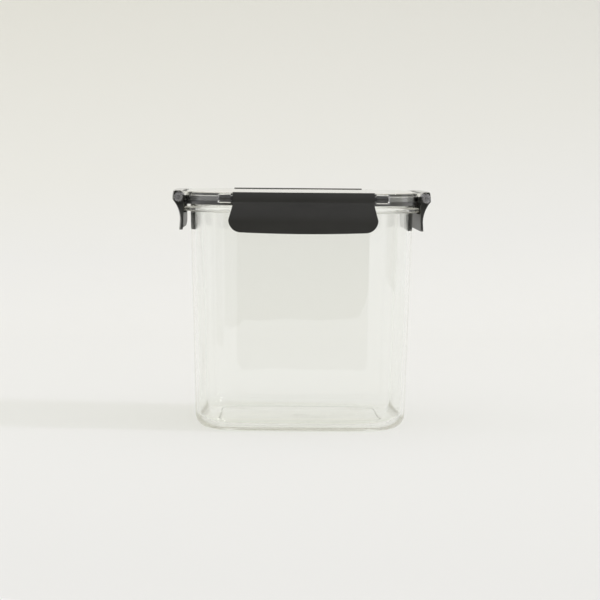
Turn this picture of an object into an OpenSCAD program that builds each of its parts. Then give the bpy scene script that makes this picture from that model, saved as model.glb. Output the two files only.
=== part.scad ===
// Square food canister: a clear jar, a clear lid with a rubber seal, and four hinged latches.
// Millimetres, +Z up. The origin is at the middle of the base. Front is -Y.
// A profile is drawn as (distance from the middle of the jar, height) and swept round the rounded square.

/* [Jar] */
// Width across the jar, just under its bead
jar_w = 119; // [100:0.5:150]
// Height of the jar's rim
jar_h = 121.3; // [80:0.5:180]
// Radius of the jar's upright corners, just under its bead
jar_corner = 31; // [27:0.5:40]
// Lean of the walls, which lets the jar leave its mould
lean = 1.7; // [0.5:0.1:2]
// Thickness of the jar's wall
wall = 2.2; // [1.8:0.1:2.8]
// Thickness of the jar's floor, at its foot
floor_t = 3; // [2.4:0.1:4]
// Radius of the outer edge of the base
base_round = 7; // [5:0.5:8]
// Radius between the floor and the walls, inside
inner_round = 5; // [3:0.5:6]
// Depth of the hollow under the base
foot_hollow = 0.8; // [0.4:0.1:1.2]
// Width of the foot that stands on the table
foot_ring = 5; // [3:0.5:8]
// Width of the round dimple round the mould's gate, under the floor
gate_w = 7; // [4:0.5:10]
// Depth of the dimple
gate_depth = 0.4; // [0.2:0.1:0.6]
// Width of the stub that the gate leaves in it
stub_w = 1.8; // [1:0.1:3]
// Height of the stub
stub_h = 0.2; // [0.1:0.05:0.3]
// How far the bead stands out from the wall
bead_out = 3.4; // [2.8:0.1:4]
// Height of the bead
bead_h = 2.5; // [2:0.1:3]
// Radius of the bead's edges
bead_edge = 0.9; // [0.4:0.1:1]
// Height of the plain rim above the bead
rim_rise = 2.9; // [2:0.1:3.4]

/* [Lid] */
// Gap between the rim and the inside of the lid's skirt
skirt_gap = 1; // [0.8:0.1:1.4]
// Thickness of the lid's skirt
skirt_t = 1.6; // [1.3:0.1:2]
// Gap between the skirt and the top of the bead
seat_gap = 1.2; // [0.4:0.1:1.5]
// Thickness of the lid's top
lid_t = 1.8; // [1.6:0.1:2.4]
// Radius of the lid's top edge
lid_round = 0.6; // [0.4:0.1:1.4]
// Gap between the lid's inner wall and the inside of the jar
plug_gap = 0.9; // [0.6:0.1:1.4]
// Thickness of the lid's inner wall
plug_t = 1.5; // [1.2:0.1:1.8]
// How far the inner wall reaches below the rim
plug_drop = 2.2; // [1:0.1:4]

/* [Seal] */
// Height of the seal above the rim
seal_h = 3.1; // [2.6:0.1:3.6]
// Gap between the seal and the inside of the skirt
seal_gap = 0.5; // [0.3:0.1:0.8]
// Clearance between the seal and the lid's inner wall
seal_fit = 0.1; // [0.05:0.01:0.2]
// Clearance between the seal and the rim
seal_rest = 0.05; // [0.02:0.01:0.1]
// Clearance between the lip's edge and the inside of the skirt
lip_gap = 0.05; // [0.02:0.01:0.1]
// Height of the lip where it leaves the seal
lip_rise = 0.9; // [0.6:0.1:1.4]
// Thickness of the lip that hangs outside the rim
lip_t = 0.6; // [0.4:0.05:0.7]
// How far the lip hangs below the top of the rim
lip_drop = 0.9; // [0.5:0.1:1.4]
// Bevel on the two upper edges of the seal
seal_bevel = 0.5; // [0.2:0.1:0.8]

/* [Latches] */
// Width of a latch at its hinge
latch_w = 73.6; // [60:0.2:76]
// How much wider a latch is at each side of its finger tab
latch_flare = 2.25; // [1:0.05:3]
// Height of a latch
latch_h = 21.6; // [20:0.1:26]
// How far a latch stands above the lid
latch_proud = 0.4; // [0.2:0.1:1]
// How far a latch's front stands out from the hinge
latch_front = 4.3; // [4:0.1:4.4]
// How far the front bows outwards from its ends to its middle
latch_bow = 1.5; // [0.5:0.1:3]
// Height of the upright front, below the hinge
brow_drop = 1.8; // [1:0.1:3]
// Height of the hollow curve below the upright front
curve_h = 11; // [9:0.1:12]
// How far the hollow curve leads back to the finger tab
curve_in = 4.1; // [3.5:0.1:4.4]
// Thickness of the finger tab
tab_t = 1.3; // [1.2:0.1:1.6]
// How far the end of the tab flares outwards
tab_flare = 0.4; // [0.3:0.1:0.8]
// Radius of the tab's lower corners
tab_corner = 6.5; // [4:0.5:9]
// How far the tab's lower edge dips in its middle
tab_dip = 0.9; // [0.3:0.1:1.5]
// Radius of the rounded top edge of a latch's front
crown_r = 1.2; // [0.6:0.1:3]
// How far the hook reaches under the bead
hook_reach = 1.4; // [0.8:0.1:1.8]
// Clearance between the hook and the underside of the bead
hook_gap = 0.1; // [0.1:0.05:0.4]
// Thickness of the hook at its edge
hook_t = 0.7; // [0.6:0.1:1.4]
// Height of the slope that leads the hook over the bead
hook_ramp = 0.3; // [0.2:0.1:2]
// Width of the hook
hook_w = 62; // [40:1:70]
// Number of hollows in the back of a latch
cells = 5; // [3:1:7]
// Thickness of the ribs between the hollows
rib_t = 1.4; // [1:0.1:2]
// Depth of the hollows
cell_depth = 2; // [1:0.1:2.2]
// How far the hollows reach up into the boss round the pin
cell_rise = 0.6; // [0:0.1:1]

/* [Hinges] */
// How far a hinge pin stands out from the lid's skirt
hinge_out = 3.6; // [3.5:0.1:4.4]
// How far the hinge pins lie below the top of the lid
hinge_drop = 2.9; // [2.6:0.1:3.1]
// Diameter of a hinge pin
pin_d = 2.6; // [2:0.1:2.8]
// Running clearance round a pin, in the latch
pin_gap = 0.06; // [0.02:0.01:0.1]
// Length of each ear
ear_len = 6.8; // [6:0.1:8]
// Radius of an ear round the pin
ear_r = 2.4; // [2.2:0.1:2.8]
// Radius of the outer corner of an ear, seen from above
ear_round = 2.6; // [1:0.1:3]
// Clearance between a latch and its ears
ear_gap = 1; // [0.2:0.1:1.2]
// How deep the ends of a pin lie inside the ears
pin_sunk = 0.5; // [0.2:0.1:1]
// Clearance between the latch and the pieces that it swings past
swing_gap = 0.25; // [0.2:0.05:0.4]

/* [Hidden] */

round_fn = 96;       // preview of round corners
bow_fn = 720;        // preview of the latches' bow
arc_n = 6;           // steps in a quarter of a small round
over = 1;            // how far a cut runs past what it cuts
spare = 1.2;         // how much wider the bow and the sections are than the latch

// The corners of every ring are turned about the same four upright lines.
hub = jar_w / 2 - jar_corner;
bead_z = jar_h - rim_rise - bead_h;
foot_half = jar_w / 2 - bead_z * tan(lean);
function wall_at(z) = foot_half + z * tan(lean);
rim_half = jar_w / 2;
bead_half = jar_w / 2 + bead_out;
// The lid is worked out from the rim.
skirt_in = rim_half + skirt_gap;
skirt_out = skirt_in + skirt_t;
skirt_z = bead_z + bead_h + seat_gap;
channel_z = jar_h + seal_h + seal_rest;
lid_z = channel_z + lid_t;
plug_out = rim_half - wall - plug_gap;
plug_in = plug_out - plug_t;
// The hinges and latches are worked out from the lid.
axis_u = skirt_out + hinge_out;
axis_z = lid_z - hinge_drop;
head_r = hinge_out - swing_gap;
latch_top = lid_z + latch_proud;
latch_z = latch_top - latch_h;
front_u = axis_u + latch_front;
brow_z = axis_z - brow_drop;
tab_z = brow_z - curve_h;
tab_u = front_u - curve_in;
curve_r = (curve_h * curve_h + curve_in * curve_in) / (2 * curve_in);
flare_z = axis_z - ear_r - ear_gap;
half_w = latch_w / 2;
wide = half_w + latch_flare;
bow_r = (half_w * half_w + latch_bow * latch_bow) / (2 * latch_bow);
bow_angle = 2 * asin(spare * wide / bow_r);
inner_u = bead_half + swing_gap;
hook_z = bead_z - hook_gap;
hook_u = bead_half - hook_reach;
ramp_z = hook_z - hook_t - hook_ramp;
ear_in = half_w + ear_gap;
ear_end = ear_in + ear_len;
turns = [-90, 0, 90, 180];   // front, right, back, left

// Points along an arc round [u, z], from angle a to angle b.
function arc(u, z, r, a, b, n = arc_n) =
    [for (i = [0:n]) [u + r * cos(a + (b - a) * i / n), z + r * sin(a + (b - a) * i / n)]];

// Sweeps a profile round a square whose corners turn about the hubs.
module sweep(profile) {
    from_hub = [for (p = profile) [p[0] - hub, p[1]]];
    for (q = [0:3]) rotate(90 * q) translate([hub, hub, 0]) {
        rotate_extrude(angle = 90, $fn = round_fn) polygon(from_hub);
        rotate([90, 0, 0]) linear_extrude(height = 2 * hub) polygon(from_hub);
    }
}

// A profile that runs in to the hubs, with the square between the hubs filled from low to high.
module sweep_filled(low, high, profile) {
    sweep(profile);
    translate([-hub, -hub, low]) cube([2 * hub, 2 * hub, high - low]);
}

// A plain rounded-square block.
module block(half, low, high) {
    sweep_filled(low, high, [[hub, low], [half, low], [half, high], [hub, high]]);
}

module jar() {
    floor_low = foot_hollow;
    ring_in = foot_half - base_round - foot_ring;
    base_u = wall_at(base_round) - base_round;
    inner_z = floor_t + inner_round;
    inner_u0 = wall_at(inner_z) - wall - inner_round;
    lip = wall / 2;
    color("aliceblue", 0.45) difference() {
        sweep_filled(floor_low, floor_t, concat(
            [[hub, floor_low], [ring_in - foot_hollow, floor_low], [ring_in, 0]],
            arc(base_u, base_round, base_round, -90, 0, 2 * arc_n),
            [[wall_at(bead_z), bead_z]],
            arc(bead_half - bead_edge, bead_z + bead_edge, bead_edge, -90, 0),
            arc(bead_half - bead_edge, bead_z + bead_h - bead_edge, bead_edge, 0, 90),
            [[rim_half, bead_z + bead_h]],
            arc(rim_half - lip, jar_h - lip, lip, 0, 180, 2 * arc_n),
            [[rim_half - wall, bead_z]],
            arc(inner_u0, inner_z, inner_round, 0, -90, 2 * arc_n),
            [[hub, floor_t]]));
        translate([0, 0, floor_low - over])
            cylinder(h = over + gate_depth, d = gate_w, $fn = round_fn);
    }
    color("aliceblue", 0.45) translate([0, 0, floor_low + gate_depth - stub_h])
        cylinder(h = stub_h + over, d = stub_w, $fn = round_fn);
}

// An ear seen from the end of its pin: a boss round the pin, under an arm that carries on the lid's top.
module ear_section() {
    k = ear_r / sqrt(2);
    translate([axis_u, axis_z]) circle(r = ear_r, $fn = round_fn);
    polygon([
        [hub, channel_z], [axis_u, channel_z], [axis_u, axis_z], [axis_u + k, axis_z + k],
        [axis_u + 2 * k - hinge_drop, lid_z], [hub, lid_z]]);
}

// An ear seen from above, with its outer corner rounded.
module ear_plan() {
    translate([hub, ear_in]) square([axis_u + ear_r - ear_round - hub, ear_len]);
    translate([hub, ear_in]) square([axis_u + ear_r - hub, ear_len - ear_round]);
    translate([axis_u + ear_r - ear_round, ear_end - ear_round]) circle(r = ear_round, $fn = round_fn);
}

// The two ears on the right side of the lid, cut back to the middle of the skirt.
module ears() {
    difference() {
        for (s = [0, 1]) mirror([0, s, 0]) intersection() {
            translate([0, ear_end + over, 0]) rotate([90, 0, 0])
                linear_extrude(height = ear_len + 2 * over) ear_section();
            linear_extrude(height = lid_z) ear_plan();
        }
        block(skirt_in + skirt_t / 2, skirt_z - 2 * over, lid_z - lid_t / 2);
    }
}

module lid() {
    plug_z = jar_h - plug_drop;
    color("aliceblue", 0.45) difference() {
        union() {
            sweep_filled(channel_z, lid_z, concat(
                [[hub, channel_z], [plug_in, channel_z], [plug_in, plug_z]],
                [[plug_out, plug_z], [plug_out, channel_z], [skirt_in, channel_z], [skirt_in, skirt_z]],
                [[skirt_out, skirt_z]],
                arc(skirt_out - lid_round, lid_z - lid_round, lid_round, 0, 90),
                [[hub, lid_z]]));
            for (a = turns) rotate(a) ears();
        }
        for (a = turns) rotate(a) hinge_bar(pin_d / 2, ear_end + over);
    }
}

// A round bar on the hinge line of the right side.
module hinge_bar(r, half_len) {
    translate([axis_u, half_len, axis_z]) rotate([90, 0, 0])
        cylinder(h = 2 * half_len, r = r, $fn = round_fn);
}

module seal() {
    u0 = plug_out + seal_fit;
    u1 = skirt_in - seal_gap;
    lip_u = skirt_in - lip_gap;
    low = jar_h + seal_rest;
    lip_z = jar_h - lip_drop;
    color("dimgray") sweep([
        [u0, low], [lip_u - lip_t, low], [lip_u - lip_t, lip_z], [lip_u, lip_z],
        [lip_u, low + lip_rise / 2], [u1, low + lip_rise], [u1, channel_z - seal_bevel],
        [u1 - seal_bevel, channel_z], [u0 + seal_bevel, channel_z], [u0, channel_z - seal_bevel]]);
}

// The outline of a latch seen from the front: narrow between the ears, wider at the tab, with round corners.
module latch_outline() {
    dip_r = (wide * wide + tab_dip * tab_dip) / (2 * tab_dip);
    top = latch_top + over;
    cy = wide - tab_corner;
    dip_z = latch_z + dip_r;
    cz = dip_z - sqrt(pow(dip_r - tab_corner, 2) - cy * cy);
    reach = spare * dip_r / (dip_r - tab_corner);
    ty = cy * reach;
    tz = dip_z - (dip_z - cz) * reach;
    polygon([[-half_w, top], [-half_w, flare_z], [-wide, cz], [wide, cz], [half_w, flare_z], [half_w, top]]);
    for (s = [-1, 1]) intersection() {
        translate([s * cy, cz]) circle(r = tab_corner, $fn = round_fn);
        polygon([[s * cy, cz], [s * (wide + over), cz], [s * (wide + over), latch_z - over],
                 [s * ty, latch_z - over], [s * ty, tz]]);
    }
    intersection() {
        translate([0, dip_z]) circle(r = dip_r, $fn = bow_fn);
        polygon([[-cy, cz], [cy, cz], [ty, tz], [-ty, tz]]);
    }
}

// The front of a latch in section, with everything behind it.
module latch_front_section() {
    turn = asin(curve_h / curve_r);
    polygon(concat(
        [[hub, latch_top]],
        arc(front_u - crown_r, latch_top - crown_r, crown_r, 90, 0),
        arc(tab_u + curve_r, tab_z, curve_r, 180 - turn, 180),
        [[tab_u + tab_flare, latch_z - over], [hub, latch_z - over]]));
}

// What is cut away behind the finger tab, in section.
module tab_back_section() {
    polygon([
        [hub - over, ramp_z], [tab_u - tab_t, ramp_z], [tab_u - tab_t, tab_z],
        [tab_u + tab_flare - tab_t, latch_z - over], [tab_u + tab_flare - tab_t, latch_z - 2 * over],
        [hub - over, latch_z - 2 * over]]);
}

// The straight inside of a latch, which goes round the pin.
module latch_core_section() {
    translate([axis_u, axis_z]) circle(r = head_r, $fn = round_fn);
    polygon([
        [inner_u, axis_z - over], [inner_u, latch_z - over], [front_u + over, latch_z - over],
        [front_u + over, latch_top + over], [axis_u, latch_top + over], [axis_u, axis_z - over]]);
}

module bowed() {
    translate([front_u - bow_r, 0, 0]) rotate(-bow_angle / 2)
        rotate_extrude(angle = bow_angle, $fn = bow_fn) translate([bow_r - front_u, 0]) children();
}

module straight(width) {
    translate([0, width / 2, 0]) rotate([90, 0, 0]) linear_extrude(height = width) children();
}

// A latch without its hook, its bore and its hollows, and still solid behind the tab.
module latch_body() {
    intersection() {
        translate([hub, 0, 0]) rotate([90, 0, 90]) linear_extrude(height = 2 * axis_u)
            latch_outline();
        straight(2 * spare * wide) latch_core_section();
        bowed() latch_front_section();
    }
}

// A latch on the right side of the lid, closed.
module latch() {
    cell_w = (hook_w - (cells - 1) * rib_t) / cells;
    cell_z = hook_z + hook_gap;
    color("#2b2a2c") difference() {
        union() {
            difference() {
                latch_body();
                bowed() tab_back_section();
            }
            straight(hook_w) polygon([
                [hook_u, hook_z], [inner_u + over, hook_z], [inner_u + over, ramp_z],
                [inner_u, ramp_z], [hook_u, hook_z - hook_t]]);
        }
        hinge_bar(pin_d / 2 + pin_gap, wide + over);
        for (i = [0:cells - 1])
            translate([inner_u - over, (i - (cells - 1) / 2) * (cell_w + rib_t) - cell_w / 2, cell_z])
                cube([cell_depth + over, cell_w, axis_z - head_r + cell_rise - cell_z]);
    }
}

module hinge_pin() {
    color("#3a393c") hinge_bar(pin_d / 2, ear_end - pin_sunk);
}

jar();
lid();
seal();
rotate(turns[0]) latch();  // latch_front
rotate(turns[1]) latch();  // latch_right
rotate(turns[2]) latch();  // latch_back
rotate(turns[3]) latch();  // latch_left
rotate(turns[0]) hinge_pin();  // hinge_pin_front
rotate(turns[1]) hinge_pin();  // hinge_pin_right
rotate(turns[2]) hinge_pin();  // hinge_pin_back
rotate(turns[3]) hinge_pin();  // hinge_pin_left
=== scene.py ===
import math

import bmesh
import bpy
from mathutils import Matrix, Vector


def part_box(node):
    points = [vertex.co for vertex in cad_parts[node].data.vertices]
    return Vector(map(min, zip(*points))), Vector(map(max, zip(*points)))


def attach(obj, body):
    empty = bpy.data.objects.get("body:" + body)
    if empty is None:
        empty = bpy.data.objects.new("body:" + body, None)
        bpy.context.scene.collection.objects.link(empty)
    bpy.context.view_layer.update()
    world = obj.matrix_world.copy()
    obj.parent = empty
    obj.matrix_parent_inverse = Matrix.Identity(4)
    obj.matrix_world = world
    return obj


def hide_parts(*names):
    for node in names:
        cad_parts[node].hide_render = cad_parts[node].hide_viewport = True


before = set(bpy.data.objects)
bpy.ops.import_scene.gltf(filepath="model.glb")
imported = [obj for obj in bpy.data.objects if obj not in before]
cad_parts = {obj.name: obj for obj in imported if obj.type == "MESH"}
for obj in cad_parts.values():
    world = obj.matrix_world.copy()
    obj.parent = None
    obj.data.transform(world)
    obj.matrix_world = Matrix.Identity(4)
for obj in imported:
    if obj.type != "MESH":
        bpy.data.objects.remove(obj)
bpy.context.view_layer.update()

# ---------------------------------------------------------------------------------------------
# Jar: one clear copolyester moulding, swept round a rounded square. The walls lean outwards so
# that it leaves the mould, a bead below the rim takes the latches' hooks, and it stands on a foot
# ring round a shallow hollow, with the gate's mark in the middle.
# ---------------------------------------------------------------------------------------------
MM = 0.001
jar_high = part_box("jar")[1]
jar_h = jar_high[2]
bead_half = jar_high[0]
bead_out = 3.4 * MM
bead_h = 2.5 * MM
bead_edge = 0.9 * MM
rim_rise = 2.9 * MM
rim_half = bead_half - bead_out
corner_r = 31 * MM
hub = rim_half - corner_r              # the corners turn about the four points (+-hub, +-hub)
bead_z = jar_h - rim_rise - bead_h
lean = math.tan(math.radians(1.7))
foot_half = rim_half - bead_z * lean
wall = 2.2 * MM
floor_t = 3 * MM
base_round = 7 * MM
inner_round = 5 * MM
rim_edge = 0.95 * MM
rim_blend = 8 * MM                     # where the upright rim turns into the leaning wall, inside
foot_hollow = 0.8 * MM
foot_ring = 5 * MM
soft_edge = 0.4 * MM
gate_r = 3.5 * MM
gate_depth = 0.4 * MM
stub_r = 0.9 * MM
stub_h = 0.2 * MM
CORNER_STEPS = 28                      # quads in a quarter turn
CRISP = math.radians(35)               # an edge that turns by more than this stays crisp
SAME = 1e-6                            # points nearer than this become one
LONG_WAY = 15.5                        # turns of a ray's path, after which it counts as trapped
MANY_MIRRORS = 8.5                     # reflections of a ray, after which it counts as trapped


def rounded(points, steps=8):
    """The outline through (u, z, radius) points, with an arc of that radius at each corner."""
    out = []
    for i, (u, z, r) in enumerate(points):
        here = Vector((u, z))
        if not r:
            out.append(here)
            continue
        before = (Vector(points[i - 1][:2]) - here).normalized()
        after = (Vector(points[(i + 1) % len(points)][:2]) - here).normalized()
        half = before.angle(after) / 2
        middle = here + (before + after).normalized() * (r / math.sin(half))
        first = here + before * (r / math.tan(half)) - middle
        last = here + after * (r / math.tan(half)) - middle
        turn = math.atan2(first.cross(last), first.dot(last))
        for k in range(steps + 1):
            out.append(middle + Matrix.Rotation(turn * k / steps, 2) @ first)
    return out


def thread(bm, points, closed):
    """The points as vertices joined by edges."""
    verts = [bm.verts.new(point) for point in points]
    ends = zip(verts, verts[1:] + verts[:1] if closed else verts[1:])
    return verts, [bm.edges.new(pair) for pair in ends]


def run_out(bm, edges, shift):
    """Extrudes edges by shift."""
    made = bmesh.ops.extrude_edge_only(bm, edges=edges)["geom"]
    verts = [v for v in made if isinstance(v, bmesh.types.BMVert)]
    bmesh.ops.translate(bm, verts=verts, vec=shift)


def swept(outline, closed=False):
    """A (u, z) outline turned about one hub, run out to the middle of two sides, and mirrored."""
    bm = bmesh.new()
    verts, edges = thread(bm, [(u, hub, z) for u, z in outline], closed)
    turned = bmesh.ops.spin(bm, geom=verts + edges, cent=(hub, hub, 0), axis=(0, 0, 1),
                            angle=math.pi / 2, steps=CORNER_STEPS, use_merge=False)
    run_out(bm, edges, (0, -hub, 0))
    run_out(bm, [g for g in turned["geom_last"] if isinstance(g, bmesh.types.BMEdge)], (-hub, 0, 0))
    bmesh.ops.remove_doubles(bm, verts=bm.verts, dist=SAME)
    for axis in "XY":
        bmesh.ops.mirror(bm, geom=bm.verts[:] + bm.edges[:] + bm.faces[:], axis=axis, merge_dist=SAME)
    bmesh.ops.remove_doubles(bm, verts=bm.verts, dist=SAME)
    bmesh.ops.holes_fill(bm, edges=[e for e in bm.edges if e.is_boundary], sides=0)
    bmesh.ops.recalc_face_normals(bm, faces=bm.faces)
    return bm


def solid(bm, name):
    """The bmesh as an object at the origin."""
    mesh = bpy.data.meshes.new(name)
    bm.to_mesh(mesh)
    bm.free()
    piece = bpy.data.objects.new(name, mesh)
    bpy.context.scene.collection.objects.link(piece)
    return piece


def carve(piece, tool, how):
    """Joins tool to piece, cuts it away or keeps what both share. The tool is used up."""
    step = piece.modifiers.new(how, "BOOLEAN")
    step.operation = how
    step.object = tool
    step.solver = "EXACT"
    settle(piece)
    bpy.data.meshes.remove(tool.data)
    return piece


def settle(piece):
    """Applies the piece's modifiers."""
    bpy.context.view_layer.update()
    made = bpy.data.meshes.new_from_object(piece.evaluated_get(bpy.context.evaluated_depsgraph_get()))
    piece.modifiers.clear()
    old = piece.data
    piece.data = made
    bpy.data.meshes.remove(old)


def rod(name, radius, low, high, steps=48):
    """A round bar along Z, as a cutter or a boss."""
    bm = bmesh.new()
    bmesh.ops.create_cone(bm, cap_ends=True, segments=steps, radius1=radius, radius2=radius,
                          depth=high - low, matrix=Matrix.Translation((0, 0, (low + high) / 2)))
    return solid(bm, name)


def crisp(piece):
    """Smooth faces, with edges that turn sharply kept crisp and flat faces kept flat."""
    bm = bmesh.new()
    bm.from_mesh(piece.data)
    bmesh.ops.remove_doubles(bm, verts=bm.verts, dist=SAME)
    for edge in bm.edges:
        edge.smooth = edge.is_manifold and edge.calc_face_angle(0) < CRISP
    for face in bm.faces:
        face.smooth = True
    bm.to_mesh(piece.data)
    bm.free()
    piece.modifiers.new("flat faces stay flat", "WEIGHTED_NORMAL").keep_sharp = True


class Socket:
    """One output of a material's nodes. Sums of sockets add Math nodes, and node() any other."""

    def __init__(self, tree, out=None):
        self.tree = tree
        self.out = out

    def node(self, kind, settings, values, out=0):
        made = self.tree.nodes.new(kind)
        stops = settings.pop("stops", [])
        for key, value in settings.items():
            setattr(made, key, value)
        for i, (at, colour) in enumerate(stops):
            if i > 1:
                made.color_ramp.elements.new(at)
            made.color_ramp.elements[i].position = at
            made.color_ramp.elements[i].color = colour
        for key, value in values.items():
            if isinstance(value, Socket):
                self.tree.links.new(value.out, made.inputs[key])
            else:
                made.inputs[key].default_value = value
        return Socket(self.tree, made.outputs[out] if made.outputs else None)

    def sum(self, how, a, b):
        return self.node("ShaderNodeMath", {"operation": how}, {0: a, 1: b})

    def __add__(self, other):
        return self.sum("ADD", self, other)

    def __radd__(self, other):
        return self.sum("ADD", other, self)

    def __sub__(self, other):
        return self.sum("SUBTRACT", self, other)

    def __rsub__(self, other):
        return self.sum("SUBTRACT", other, self)

    def __mul__(self, other):
        return self.sum("MULTIPLY", self, other)

    def __rmul__(self, other):
        return self.sum("MULTIPLY", other, self)


def finish_of(name):
    """A material with no nodes yet, and a Socket to start them from."""
    material = bpy.data.materials.new(name)
    material.use_nodes = True
    material.node_tree.nodes.clear()
    return material, Socket(material.node_tree)


def axis(vector, name):
    """One coordinate of a vector."""
    return vector.node("ShaderNodeSeparateXYZ", {}, {0: vector}, name)


def laid_over(share, under, over):
    """The shader under, with the shader over it by a share from 0 to 1."""
    return share.node("ShaderNodeMixShader", {}, {0: share, 1: under, 2: over})


def end_faces(place, beyond):
    """1 on the faces across a side that stand out further than beyond, and 0 on all others."""
    facing = place.node("ShaderNodeTexCoord", {}, {}, "Normal")
    found = []
    for out, along in ("XY", "YX"):
        reach = axis(place, out)
        turn = axis(facing, along)
        far = place.sum("GREATER_THAN", reach * reach, beyond ** 2)
        across = place.sum("GREATER_THAN", turn * turn, 0.6)
        found.append(far * across)
    return place.sum("MAXIMUM", *found)


def clear_plastic(name, reflection_beyond=None):
    """Polished clear copolyester, faintly wavy. Lamps shine straight through it, and light that is
    trapped in it goes straight on, dimmed. Where the faces across a side stand out further than the
    given distance, a grey layer is laid over them as a painted reflection of a rounded end."""
    material, start = finish_of(name)
    place = start.node("ShaderNodeTexCoord", {}, {}, "Object")
    flow = start.node("ShaderNodeTexNoise", {}, {"Vector": place, "Scale": 30.0, "Detail": 1.0})
    waves = start.node("ShaderNodeBump", {}, {"Strength": 0.15, "Distance": 0.0004, "Height": flow})
    haze = start.node("ShaderNodeTexNoise", {}, {"Vector": place, "Scale": 120.0, "Detail": 3.0})
    surface = start.node("ShaderNodeBsdfPrincipled", {}, {
        "Base Color": (0.985, 0.99, 0.978, 1), "Roughness": 0.005 + 0.02 * haze,
        "Transmission Weight": 1.0, "IOR": 1.54, "Normal": waves})
    # painted reflection: a grey layer lightens the ear ends, standing in for what a rounded end
    # reflects
    if reflection_beyond:
        painted_reflection = start.node("ShaderNodeBsdfPrincipled", {}, {
            "Base Color": (0.42, 0.41, 0.44, 1), "Roughness": 0.5})
        surface = laid_over(end_faces(place, reflection_beyond) * (0.1 + 0.45 * haze), surface, painted_reflection)
    turns = start.node("ShaderNodeLightPath", {}, {}, "Ray Depth")
    mirrored = start.node("ShaderNodeLightPath", {}, {}, "Glossy Depth")
    trapped = start.sum("MAXIMUM", start.sum("GREATER_THAN", turns, LONG_WAY),
                        start.sum("GREATER_THAN", mirrored, MANY_MIRRORS))
    spread = start.node("ShaderNodeLightPath", {}, {}, "Is Diffuse Ray")
    shadow = start.node("ShaderNodeLightPath", {}, {}, "Is Shadow Ray")
    for share, tint in ((trapped, (0.74, 0.73, 0.68, 1)), (spread, (0.985, 0.987, 0.978, 1)),
                        (shadow, (0.91, 0.915, 0.88, 1))):
        straight_on = start.node("ShaderNodeBsdfTransparent", {}, {"Color": tint})
        surface = laid_over(share, surface, straight_on)
    start.node("ShaderNodeOutputMaterial", {}, {"Surface": surface})
    return material


def fitted(piece, material, body, node):
    """The piece takes its finish, stands for its node and rides on its body."""
    piece.data.materials.clear()
    piece.data.materials.append(material)
    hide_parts(node)
    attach(piece, body)


def wall_at(z):
    """Half the jar's width at a height below the bead."""
    return foot_half + z * lean


foot_in = foot_half - base_round - foot_ring
jar = solid(swept(rounded([
    (hub, foot_hollow, 0), (foot_in - foot_hollow, foot_hollow, soft_edge), (foot_in, 0, soft_edge),
    (wall_at(0), 0, base_round), (wall_at(bead_z), bead_z, soft_edge),
    (bead_half, bead_z, bead_edge), (bead_half, bead_z + bead_h, bead_edge),
    (rim_half, bead_z + bead_h, soft_edge), (rim_half, jar_h, rim_edge),
    (rim_half - wall, jar_h, rim_edge), (rim_half - wall, bead_z, rim_blend),
    (wall_at(floor_t) - wall, floor_t, inner_round), (hub, floor_t, 0)])), "jar_body")
carve(jar, rod("gate_dimple", gate_r, 0, foot_hollow + gate_depth), "DIFFERENCE")
carve(jar, rod("gate_stub", stub_r, foot_hollow + gate_depth - stub_h, floor_t / 2, 24), "UNION")
crisp(jar)
fitted(jar, clear_plastic("clear_plastic"), "jar", "jar")

# ---------------------------------------------------------------------------------------------
# Lid: one clear moulding of the same plastic, with a flat top. A skirt goes outside the rim and
# an inner wall inside it, with the seal's channel between them. Each hinge ear is an arm of the
# top with a round boss, and a thin skin closes its outer end over the pin.
# ---------------------------------------------------------------------------------------------
lid_low, lid_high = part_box("lid")
seal_low, seal_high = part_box("seal")
pin_low, pin_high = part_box("hinge_pin_right")
lid_z = lid_high[2]
channel_z = seal_high[2]
seat_gap = 1.2 * MM
rim_gap = 1 * MM
skirt_t = 1.6 * MM
plug_gap = 0.9 * MM
plug_t = 1.5 * MM
skirt_z = bead_z + bead_h + seat_gap
skirt_in = rim_half + rim_gap
skirt_out = skirt_in + skirt_t
plug_out = rim_half - wall - plug_gap
plug_in = plug_out - plug_t
plug_z = lid_low[2]
lid_edge = 0.5 * MM
top_edge = 0.6 * MM
channel_edge = 0.3 * MM
axis_u = (pin_low[0] + pin_high[0]) / 2
axis_z = (pin_low[2] + pin_high[2]) / 2
pin_r = (pin_high[2] - pin_low[2]) / 2
ear_r = 2.4 * MM
ear_len = 6.8 * MM
ear_skin = 0.5 * MM
ear_round = 2.6 * MM                   # the ear's outer corner, seen from above
ear_crown = 1.8 * MM                   # its two outer top edges
ear_u = axis_u + ear_r
ear_end = pin_high[1] + ear_skin
ear_in = ear_end - ear_len
boss_stop = math.radians(405)          # the boss runs round to 45 degrees above level, outside
grip = 0.01 * MM                       # the bore is this much tighter than the pin
bite = 0.05 * MM                       # the pin's end goes this far into the ear's skin
over = 1 * MM                          # a cutter runs this far past what it cuts
QUARTER = math.pi / 2
BOSS_STEPS = 30


def prism(outline, low, high, name, along="Y"):
    """An outline run along one axis from low to high. Its points give the other two in order."""
    at = "XYZ".index(along)
    bm = bmesh.new()
    verts, edges = thread(bm, [(*point[:at], low, *point[at:]) for point in map(tuple, outline)], True)
    bm.faces.new(verts)
    run_out(bm, edges, (high - low) * Vector((at == 0, at == 1, at == 2)))
    bmesh.ops.holes_fill(bm, edges=[e for e in bm.edges if e.is_boundary], sides=0)
    bmesh.ops.recalc_face_normals(bm, faces=bm.faces)
    return solid(bm, name)


def turned(piece, quarters, name=None):
    """A copy of the piece, turned about the jar's upright middle by quarter turns."""
    bm = bmesh.new()
    bm.from_mesh(piece.data)
    bmesh.ops.rotate(bm, verts=bm.verts, matrix=Matrix.Rotation(quarters * QUARTER, 3, "Z"))
    return solid(bm, name or piece.name + "_turned")


def arc(u, z, radius, start, end, steps):
    """Points round (u, z) from one angle to another."""
    angles = [start + (end - start) * k / steps for k in range(steps + 1)]
    return [(u + radius * math.cos(a), z + radius * math.sin(a)) for a in angles]


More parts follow.
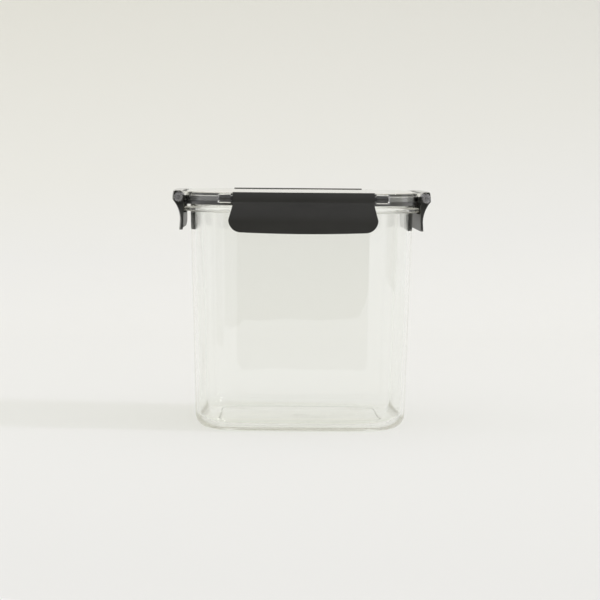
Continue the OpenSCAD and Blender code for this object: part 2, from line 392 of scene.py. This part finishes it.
def hinge_bar(radius, half_length, name, steps=40):
    """A round bar on the hinge line of the right side."""
    bm = bmesh.new()
    bmesh.ops.create_cone(bm, cap_ends=True, segments=steps, radius1=radius, radius2=radius,
                          depth=2 * half_length)
    bmesh.ops.rotate(bm, verts=bm.verts, matrix=Matrix.Rotation(QUARTER, 3, "X"))
    bmesh.ops.translate(bm, verts=bm.verts, vec=(axis_u, 0, axis_z))
    return solid(bm, name)


lid = solid(swept(rounded([
    (hub, channel_z, 0), (plug_in, channel_z, lid_edge), (plug_in, plug_z, lid_edge),
    (plug_out, plug_z, lid_edge), (plug_out, channel_z, channel_edge),
    (skirt_in, channel_z, channel_edge), (skirt_in, skirt_z, channel_edge),
    (skirt_out, skirt_z, lid_edge), (skirt_out, lid_z, top_edge), (hub, lid_z, 0)])), "lid_body")
boss_start = math.pi - math.asin((channel_z - axis_z) / ear_r)
boss = [(*point, 0) for point in arc(axis_u, axis_z, ear_r, boss_start, boss_stop, BOSS_STEPS)]
shoulder = (axis_u + ear_r * math.sqrt(2) - (lid_z - axis_z), lid_z, ear_crown)
ear = prism(rounded([(hub, lid_z, 0), (hub, channel_z, 0)] + boss + [shoulder]),
            ear_in - over, ear_end + over, "ear")
plan = prism(rounded([
    (hub, ear_in, 0), (ear_u, ear_in, lid_edge), (ear_u, ear_end, ear_round), (hub, ear_end, 0)], 12),
    axis_z - 2 * ear_r, lid_z, "ear_plan", "Z")
carve(ear, plan, "INTERSECT")
crown_in = ear_end - 3 * MM
end_view = prism(rounded([
    (ear_in - 2 * over, axis_z - ear_r - over, 0), (ear_in - 2 * over, lid_z + over, 0),
    (crown_in, lid_z + over, 0), (crown_in, lid_z, 0), (ear_end, lid_z, ear_crown),
    (ear_end, axis_z - ear_r - over, 0)]), hub - over, ear_u + over, "end_view", "X")
carve(ear, end_view, "INTERSECT")
skirt_mid = (skirt_in + skirt_out) / 2
top_mid = lid_z - 0.9 * MM
inside = solid(swept([(hub, skirt_z - 2 * over), (skirt_mid, skirt_z - 2 * over),
                      (skirt_mid, top_mid), (hub, top_mid)]), "inside")
carve(ear, inside, "DIFFERENCE")
bm = bmesh.new()
bm.from_mesh(ear.data)
bmesh.ops.mirror(bm, geom=bm.verts[:] + bm.edges[:] + bm.faces[:], axis="Y", merge_dist=-1)
bmesh.ops.recalc_face_normals(bm, faces=bm.faces)
bpy.data.meshes.remove(ear.data)
ears = solid(bm, "ears")
bore = hinge_bar(pin_r - grip, pin_high[1] - bite, "bore")
for quarters in range(4):
    carve(lid, turned(ears, quarters), "UNION")
for quarters in range(4):
    carve(lid, turned(bore, quarters), "DIFFERENCE")
bpy.data.meshes.remove(ears.data)
bpy.data.meshes.remove(bore.data)
crisp(lid)
# the ear ends beyond this carry the painted reflection
reflection_from = skirt_out + 0.2 * MM
fitted(lid, clear_plastic("clear_plastic_lid", reflection_from), "lid", "lid")

# ---------------------------------------------------------------------------------------------
# Seal: a moulded ring of black silicone, pressed into the lid's channel. It rests on the rim, and
# a thin lip hangs outside the rim.
# ---------------------------------------------------------------------------------------------
seal_in = plug_out + 0.1 * MM
seal_out = skirt_in - 0.5 * MM
lip_out = skirt_in + 0.02 * MM
lip_in = lip_out - 0.6 * MM
rest_z = jar_h + 0.05 * MM
lip_z = seal_low[2] - 0.5 * MM
lip_top = rest_z + 0.45 * MM
shoulder_z = rest_z + 0.9 * MM
lip_shade_to = rest_z + 0.2 * MM            # painted shade on the lip is darkest up to here
seal_top = channel_z - 0.02 * MM


def seal_rubber():
    """Matte black silicone with a little dust on it, with painted shade darkest on the lip."""
    material, start = finish_of("seal_rubber")
    place = start.node("ShaderNodeTexCoord", {}, {}, "Object")
    dust = start.node("ShaderNodeTexNoise", {}, {"Vector": place, "Scale": 900.0, "Detail": 4.0})
    # painted shade: the lip is darkest, and the rubber grows lighter up to shoulder_z
    above = start.node("ShaderNodeMapRange", {}, {
        "Value": axis(place, "Z"), "From Min": lip_shade_to, "From Max": shoulder_z})
    colour = start.node("ShaderNodeValToRGB", {"stops": [
        (0.0, (0.02, 0.02, 0.021, 1)), (1.0, (0.12, 0.12, 0.124, 1))]}, {0: above * (0.7 + 0.4 * dust)})
    grain = start.node("ShaderNodeBump", {}, {"Strength": 0.2, "Distance": 0.0001, "Height": dust})
    rubber = start.node("ShaderNodeBsdfPrincipled", {}, {
        "Base Color": colour, "Roughness": 0.55 + 0.2 * dust, "Normal": grain})
    start.node("ShaderNodeOutputMaterial", {}, {"Surface": rubber})
    return material


seal = solid(swept(rounded([
    (seal_in, rest_z, 0.3 * MM), (lip_in, rest_z, 0.15 * MM), (lip_in, lip_z, 0.25 * MM),
    (lip_out, lip_z, 0.25 * MM), (lip_out, lip_top, 0.15 * MM), (seal_out, shoulder_z, 0.2 * MM),
    (seal_out, seal_top, 0.5 * MM), (seal_in, seal_top, 0.5 * MM)], 5), closed=True), "seal_ring")
crisp(seal)
fitted(seal, seal_rubber(), "lid", "seal")

# ---------------------------------------------------------------------------------------------
# Hinge pins: four rods of black-coated steel with bevelled ends. Each is pressed into the two
# ears of one side, and the latch turns on it.
# ---------------------------------------------------------------------------------------------


def pin_steel():
    """Steel rod under a thin black coat."""
    material, start = finish_of("pin_steel")
    place = start.node("ShaderNodeTexCoord", {}, {}, "Object")
    wear = start.node("ShaderNodeTexNoise", {}, {"Vector": place, "Scale": 700.0, "Detail": 5.0})
    colour = start.node("ShaderNodeValToRGB", {"stops": [
        (0.4, (0.012, 0.012, 0.013, 1)), (0.8, (0.035, 0.035, 0.038, 1))]}, {0: wear})
    steel = start.node("ShaderNodeBsdfPrincipled", {}, {
        "Base Color": colour, "Roughness": 0.3 + 0.15 * wear, "Metallic": 0.4 * wear})
    start.node("ShaderNodeOutputMaterial", {}, {"Surface": steel})
    return material


pin = hinge_bar(pin_r, pin_high[1], "pin")
bevel = pin.modifiers.new("bevelled ends", "BEVEL")
bevel.width = 0.25 * MM
bevel.segments = 2
bevel.limit_method = "ANGLE"
bevel.angle_limit = math.radians(60)
settle(pin)
steel = pin_steel()
SIDES = {"right": 0, "back": 1, "left": 2, "front": 3}
for side, quarters in SIDES.items():
    one = turned(pin, quarters, "pin_" + side)
    crisp(one)
    fitted(one, steel, "lid", "hinge_pin_" + side)
bpy.data.meshes.remove(pin.data)

# ---------------------------------------------------------------------------------------------
# Latches: four satin mouldings of black polypropylene, bowed across, with a slightly swollen
# front that turns into a hollow curve. A round head takes the pin, the back is cored out, a hook
# goes under the jar's bead, and the tab below is for the finger.
# ---------------------------------------------------------------------------------------------
latch_low, latch_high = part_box("latch_right")
latch_top = latch_high[2]
latch_z = latch_low[2]
front_u = latch_high[0]
half_w = 36.8 * MM
wide = half_w + 2.25 * MM
bow = 1.5 * MM
bow_r = (half_w * half_w + bow * bow) / (2 * bow)
head_r = 3.35 * MM
pin_gap = 0.06 * MM
brow_z = axis_z - 1.8 * MM             # where the upright front turns into the hollow curve
brow_round = 0.5 * MM
swell_z = brow_z + 0.6 * MM
swell_out = 0.6 * MM
top_round = 0.8 * MM
top_u = front_u - 0.55 * MM
curve_h = 11 * MM
curve_in = 4.1 * MM
curve_r = (curve_h * curve_h + curve_in * curve_in) / (2 * curve_in)
curve_turn = math.asin(curve_h / curve_r)
tab_z = brow_z - curve_h
tab_u = front_u - curve_in
tab_t = 1.3 * MM
tab_flare = 0.4 * MM
flare_z = axis_z - ear_r - 1 * MM      # where the latch starts to widen, below the ears
tab_corner = 6.5 * MM
tab_dip = 0.9 * MM                     # the tab's lower edge hangs this much lower in the middle
inner_u = bead_half + 0.25 * MM
hook_z = bead_z - 0.1 * MM
hook_u = bead_half - 1.4 * MM
hook_w = 62 * MM
hook_tip = 0.7 * MM
ramp_z = hook_z - 1 * MM
cells = 5
rib_t = 1.4 * MM
cell_depth = 2 * MM
cell_top = axis_z - head_r + 0.6 * MM
BOW_STEPS = 32
SWELL_STEPS = 6
CURVE_STEPS = 14
EDGE_STEPS = 12


def bowed(outline, name):
    """A (u, z) outline turned about the bow's far-off upright axis, wider than the latch."""
    spread = 2 * math.asin(1.2 * wide / bow_r)
    bm = bmesh.new()
    verts, edges = thread(bm, [(u, 0, z) for u, z in outline], True)
    bm.faces.new(verts)
    middle = (front_u - bow_r, 0, 0)
    bmesh.ops.rotate(bm, verts=bm.verts, cent=middle, matrix=Matrix.Rotation(-spread / 2, 3, "Z"))
    bmesh.ops.spin(bm, geom=bm.verts[:] + bm.edges[:] + bm.faces[:], cent=middle, axis=(0, 0, 1),
                   angle=spread, steps=BOW_STEPS, use_merge=False)
    bmesh.ops.recalc_face_normals(bm, faces=bm.faces)
    return solid(bm, name)


def latch_plastic():
    """Black polypropylene from a mould with a fine etch: satin with a slight grain, polished on top."""
    material, start = finish_of("latch_plastic")
    place = start.node("ShaderNodeTexCoord", {}, {}, "Object")
    etch = start.node("ShaderNodeTexNoise", {}, {"Vector": place, "Scale": 2200.0, "Detail": 3.0})
    rub = start.node("ShaderNodeTexNoise", {}, {"Vector": place, "Scale": 60.0, "Detail": 4.0})
    colour = start.node("ShaderNodeValToRGB", {"stops": [
        (0.3, (0.010, 0.0097, 0.0093, 1)), (0.7, (0.0145, 0.014, 0.0132, 1))]}, {0: rub})
    grain = start.node("ShaderNodeBump", {}, {"Strength": 0.12, "Distance": 0.0001, "Height": etch})
    polish = start.node("ShaderNodeMapRange", {}, {
        "Value": axis(place, "Z"), "From Min": latch_top - 0.7 * MM, "From Max": latch_top - 0.2 * MM})
    plastic = start.node("ShaderNodeBsdfPrincipled", {}, {
        "Base Color": colour, "Roughness": 0.36 + 0.06 * rub - 0.32 * polish, "Normal": grain})
    start.node("ShaderNodeOutputMaterial", {}, {"Surface": plastic})
    return material


latch = prism([(inner_u, latch_z - over), (front_u + over, latch_z - over),
               (front_u + over, latch_top + over), (inner_u, latch_top + over)],
              -1.15 * wide, 1.15 * wide, "latch")
carve(latch, hinge_bar(head_r, 1.15 * wide, "head", 64), "UNION")
behind = prism([(axis_u - 2 * head_r, axis_z), (axis_u, axis_z), (axis_u, latch_top + 2 * over),
                (axis_u - 2 * head_r, latch_top + 2 * over)], -1.3 * wide, 1.3 * wide, "behind")
carve(behind, hinge_bar(head_r, 1.4 * wide, "top_half", 64), "DIFFERENCE")
carve(latch, behind, "DIFFERENCE")
swell_h = latch_top - over - swell_z
swell_r = (latch_top - swell_z) ** 2 / (2 * swell_out)
swell = []
for k in range(SWELL_STEPS, -1, -1):
    z = swell_z + swell_h * k / SWELL_STEPS
    swell.append((front_u - (z - swell_z) ** 2 / (2 * swell_r), z, 0))
curve = []
for k in range(CURVE_STEPS - 1, -1, -1):
    a = curve_turn * k / CURVE_STEPS
    curve.append((tab_u + curve_r * (1 - math.cos(a)), tab_z + curve_r * math.sin(a), 0))
front = rounded([(hub, latch_top, 0), (top_u, latch_top, top_round)] + swell
                + [(front_u, brow_z, brow_round)] + curve
                + [(tab_u + tab_flare, latch_z - over, 0), (hub, latch_z - over, 0)])
carve(latch, bowed(front, "front"), "INTERSECT")
back_u = tab_u - tab_t
tab_back = rounded([
    (hub - over, ramp_z, 0), (back_u, ramp_z, 0.4 * MM), (back_u, tab_z, 0),
    (back_u + tab_flare, latch_z - over, 0), (back_u + tab_flare, latch_z - 2 * over, 0),
    (hub - over, latch_z - 2 * over, 0)])
carve(latch, bowed(tab_back, "behind_tab"), "DIFFERENCE")
dip_r = (wide * wide + tab_dip * tab_dip) / (2 * tab_dip)
dip_z = latch_z + dip_r
corner_v = wide - tab_corner
corner_z = dip_z - math.sqrt((dip_r - tab_corner) ** 2 - corner_v ** 2)
meet = math.atan2(corner_z - dip_z, corner_v)
edge = [(half_w, latch_top + over), (half_w, flare_z)]
edge += arc(corner_v, corner_z, tab_corner, 0, meet, EDGE_STEPS)
edge += arc(0, dip_z, dip_r, meet, -QUARTER, EDGE_STEPS)[1:]
outline = edge + [(-v, z) for v, z in reversed(edge[:-1])]
carve(latch, prism(outline, hub, 2 * axis_u, "silhouette", "X"), "INTERSECT")
hook = prism([(hook_u, hook_z), (inner_u + over, hook_z), (inner_u + over, ramp_z),
              (inner_u, ramp_z), (hook_u, hook_z - hook_tip)], -hook_w / 2, hook_w / 2, "hook")
carve(latch, hook, "UNION")
carve(latch, hinge_bar(pin_r + pin_gap, wide + over, "latch_bore"), "DIFFERENCE")
cell_w = (hook_w - (cells - 1) * rib_t) / cells
for k in range(cells):
    left = (k - (cells - 1) / 2) * (cell_w + rib_t) - cell_w / 2
    cell = prism([(inner_u - over, bead_z), (inner_u + cell_depth, bead_z),
                  (inner_u + cell_depth, cell_top), (inner_u - over, cell_top)],
                 left, left + cell_w, "cell")
    carve(latch, cell, "DIFFERENCE")
bevel = latch.modifiers.new("soft edges", "BEVEL")
bevel.width = 0.35 * MM
bevel.segments = 3
bevel.limit_method = "ANGLE"
bevel.angle_limit = math.radians(40)
settle(latch)
black = latch_plastic()
for side, quarters in SIDES.items():
    one = turned(latch, quarters, "latch_body_" + side)
    crisp(one)
    fitted(one, black, "latch_" + side, "latch_" + side)
bpy.data.meshes.remove(latch.data)

# ---------------------------------------------------------------------------------------------
# Studio: a sweep of pale matte paper that runs from under the canister up behind it, soft light
# from all round that is darker low in front and on the right, a low far-off lamp on the right, and
# the camera.
# ---------------------------------------------------------------------------------------------
sweep_back = 0.9
sweep_turn = 0.35
sweep_half = 0.75
sweep_top = 2.5
join_y = 0.3                           # from here forward, the sheet has an uneven cut edge
sweep_front = [(-sweep_half, join_y), (-sweep_half, -0.1), (-0.31, -0.35), (-0.1, -0.485),
               (0.08, -0.5), (sweep_half, -0.76), (sweep_half, join_y)]
floor_z = -0.05 * MM                   # clear of the foot, so that the two don't share a plane
foot_y = -0.06
near_y = -0.45                         # painted shade darkens the paper a little from foot_y to here
CURL_STEPS = 16


def paper():
    """Matte paper with painted shade towards the front and painted light up the back, warmer up there.
    """
    material, start = finish_of("paper")
    place = start.node("ShaderNodeTexCoord", {}, {}, "Object")
    # painted shade: the paper darkens towards the front
    front_shade = start.node("ShaderNodeMapRange", {}, {
        "Value": axis(place, "Y"), "From Min": near_y, "From Max": foot_y, "To Max": 0.1})
    # painted light and shade up the back: darker low on the curl, lighter higher up and to the left
    colour = start.node("ShaderNodeValToRGB", {"stops": [
        (0.0, (0.812, 0.81, 0.803, 1)), (0.1, (0.852, 0.85, 0.842, 1)), (0.16, (0.832, 0.83, 0.823, 1)),
        (0.24, (0.834, 0.829, 0.8, 1)), (0.5, (0.857, 0.847, 0.798, 1))]},
        {0: front_shade + axis(place, "Z") * (1 - axis(place, "X"))})
    sheet = start.node("ShaderNodeBsdfPrincipled", {}, {"Base Color": colour, "Roughness": 0.9,
                                                        "Specular IOR Level": 0.0})
    start.node("ShaderNodeOutputMaterial", {}, {"Surface": sheet})
    return material


bm = bmesh.new()
line = [(-sweep_half, join_y, floor_z), (-sweep_half, sweep_back - sweep_turn, floor_z)]
for k in range(1, CURL_STEPS + 1):
    a = QUARTER * k / CURL_STEPS
    line.append((-sweep_half, sweep_back - sweep_turn + sweep_turn * math.sin(a),
                 floor_z + sweep_turn * (1 - math.cos(a))))
line.append((-sweep_half, sweep_back, sweep_top))
verts, edges = thread(bm, line, False)
run_out(bm, edges, (2 * sweep_half, 0, 0))
bm.faces.new([bm.verts.new((x, y, floor_z)) for x, y in sweep_front])
bmesh.ops.remove_doubles(bm, verts=bm.verts, dist=SAME)
bmesh.ops.recalc_face_normals(bm, faces=bm.faces)
for face in bm.faces:
    face.smooth = True
floor = solid(bm, "paper_sweep")
floor.data.materials.append(paper())

world = bpy.data.worlds.new("studio")
bpy.context.scene.world = world
world.use_nodes = True
world.node_tree.nodes.clear()
sky = Socket(world.node_tree)
aim = sky.node("ShaderNodeTexCoord", {}, {}, "Generated")
right = axis(aim, "X")
back = axis(aim, "Y")
rise = axis(aim, "Z")


def past(value, soft=0.03):
    """1 where the value is above 0 and 0 where it is below, over a narrow range."""
    return sky.node("ShaderNodeMapRange", {}, {"Value": value, "From Min": -soft, "From Max": soft})


room = sky.sum("MINIMUM", past(right - 1.25 * back), past(-0.53 * back - right))
room = sky.sum("MINIMUM", room, past(0.2 - rise, 0.1))
door = sky.sum("MINIMUM", past(right + 2.25 * back), past(0.05 - back))
door = sky.sum("MINIMUM", door, past(0.3 - rise, 0.1))
dark = sky.sum("MAXIMUM", room, 0.8 * door)
shade = sky.node("ShaderNodeValToRGB", {"stops": [
    (0.0, (0.886, 0.883, 0.871, 1)), (1.0, (0.34, 0.335, 0.25, 1))]}, {0: dark})
glow = sky.node("ShaderNodeBackground", {}, {"Color": shade, "Strength": 1.0})
sky.node("ShaderNodeOutputWorld", {}, {"Surface": glow})

lamp_data = bpy.data.lights.new("side_lamp", "SUN")
lamp_data.energy = 1.7
lamp_data.angle = math.radians(9)
lamp_data.color = (1.0, 0.99, 0.965)
lamp_tilt = math.radians(70)           # from straight overhead
lamp_turn = math.radians(-9)           # from due right, towards the front
lamp = bpy.data.objects.new("side_lamp", lamp_data)
lamp.rotation_euler = (0, lamp_tilt, lamp_turn)
bpy.context.scene.collection.objects.link(lamp)

view = bpy.data.cameras.new("camera")
view.lens = 130
view.sensor_width = 36
view.clip_end = 20
camera = bpy.data.objects.new("camera", view)
camera_at = (-0.0281, -1.1896, 0.1485)
pan = Matrix.Rotation(math.radians(-1.359), 4, "Z")
tilt = Matrix.Rotation(math.radians(90 - 3.954), 4, "X")
roll = Matrix.Rotation(math.radians(0.5), 4, "Z")
camera.matrix_world = Matrix.Translation(camera_at) @ pan @ tilt @ roll
bpy.context.scene.collection.objects.link(camera)
bpy.context.scene.camera = camera
bpy.context.scene.view_settings.view_transform = "Standard"
light_paths = bpy.context.scene.cycles
light_paths.max_bounces = 20           # light goes a long way round inside the clear walls
light_paths.transmission_bounces = 20
light_paths.glossy_bounces = 12
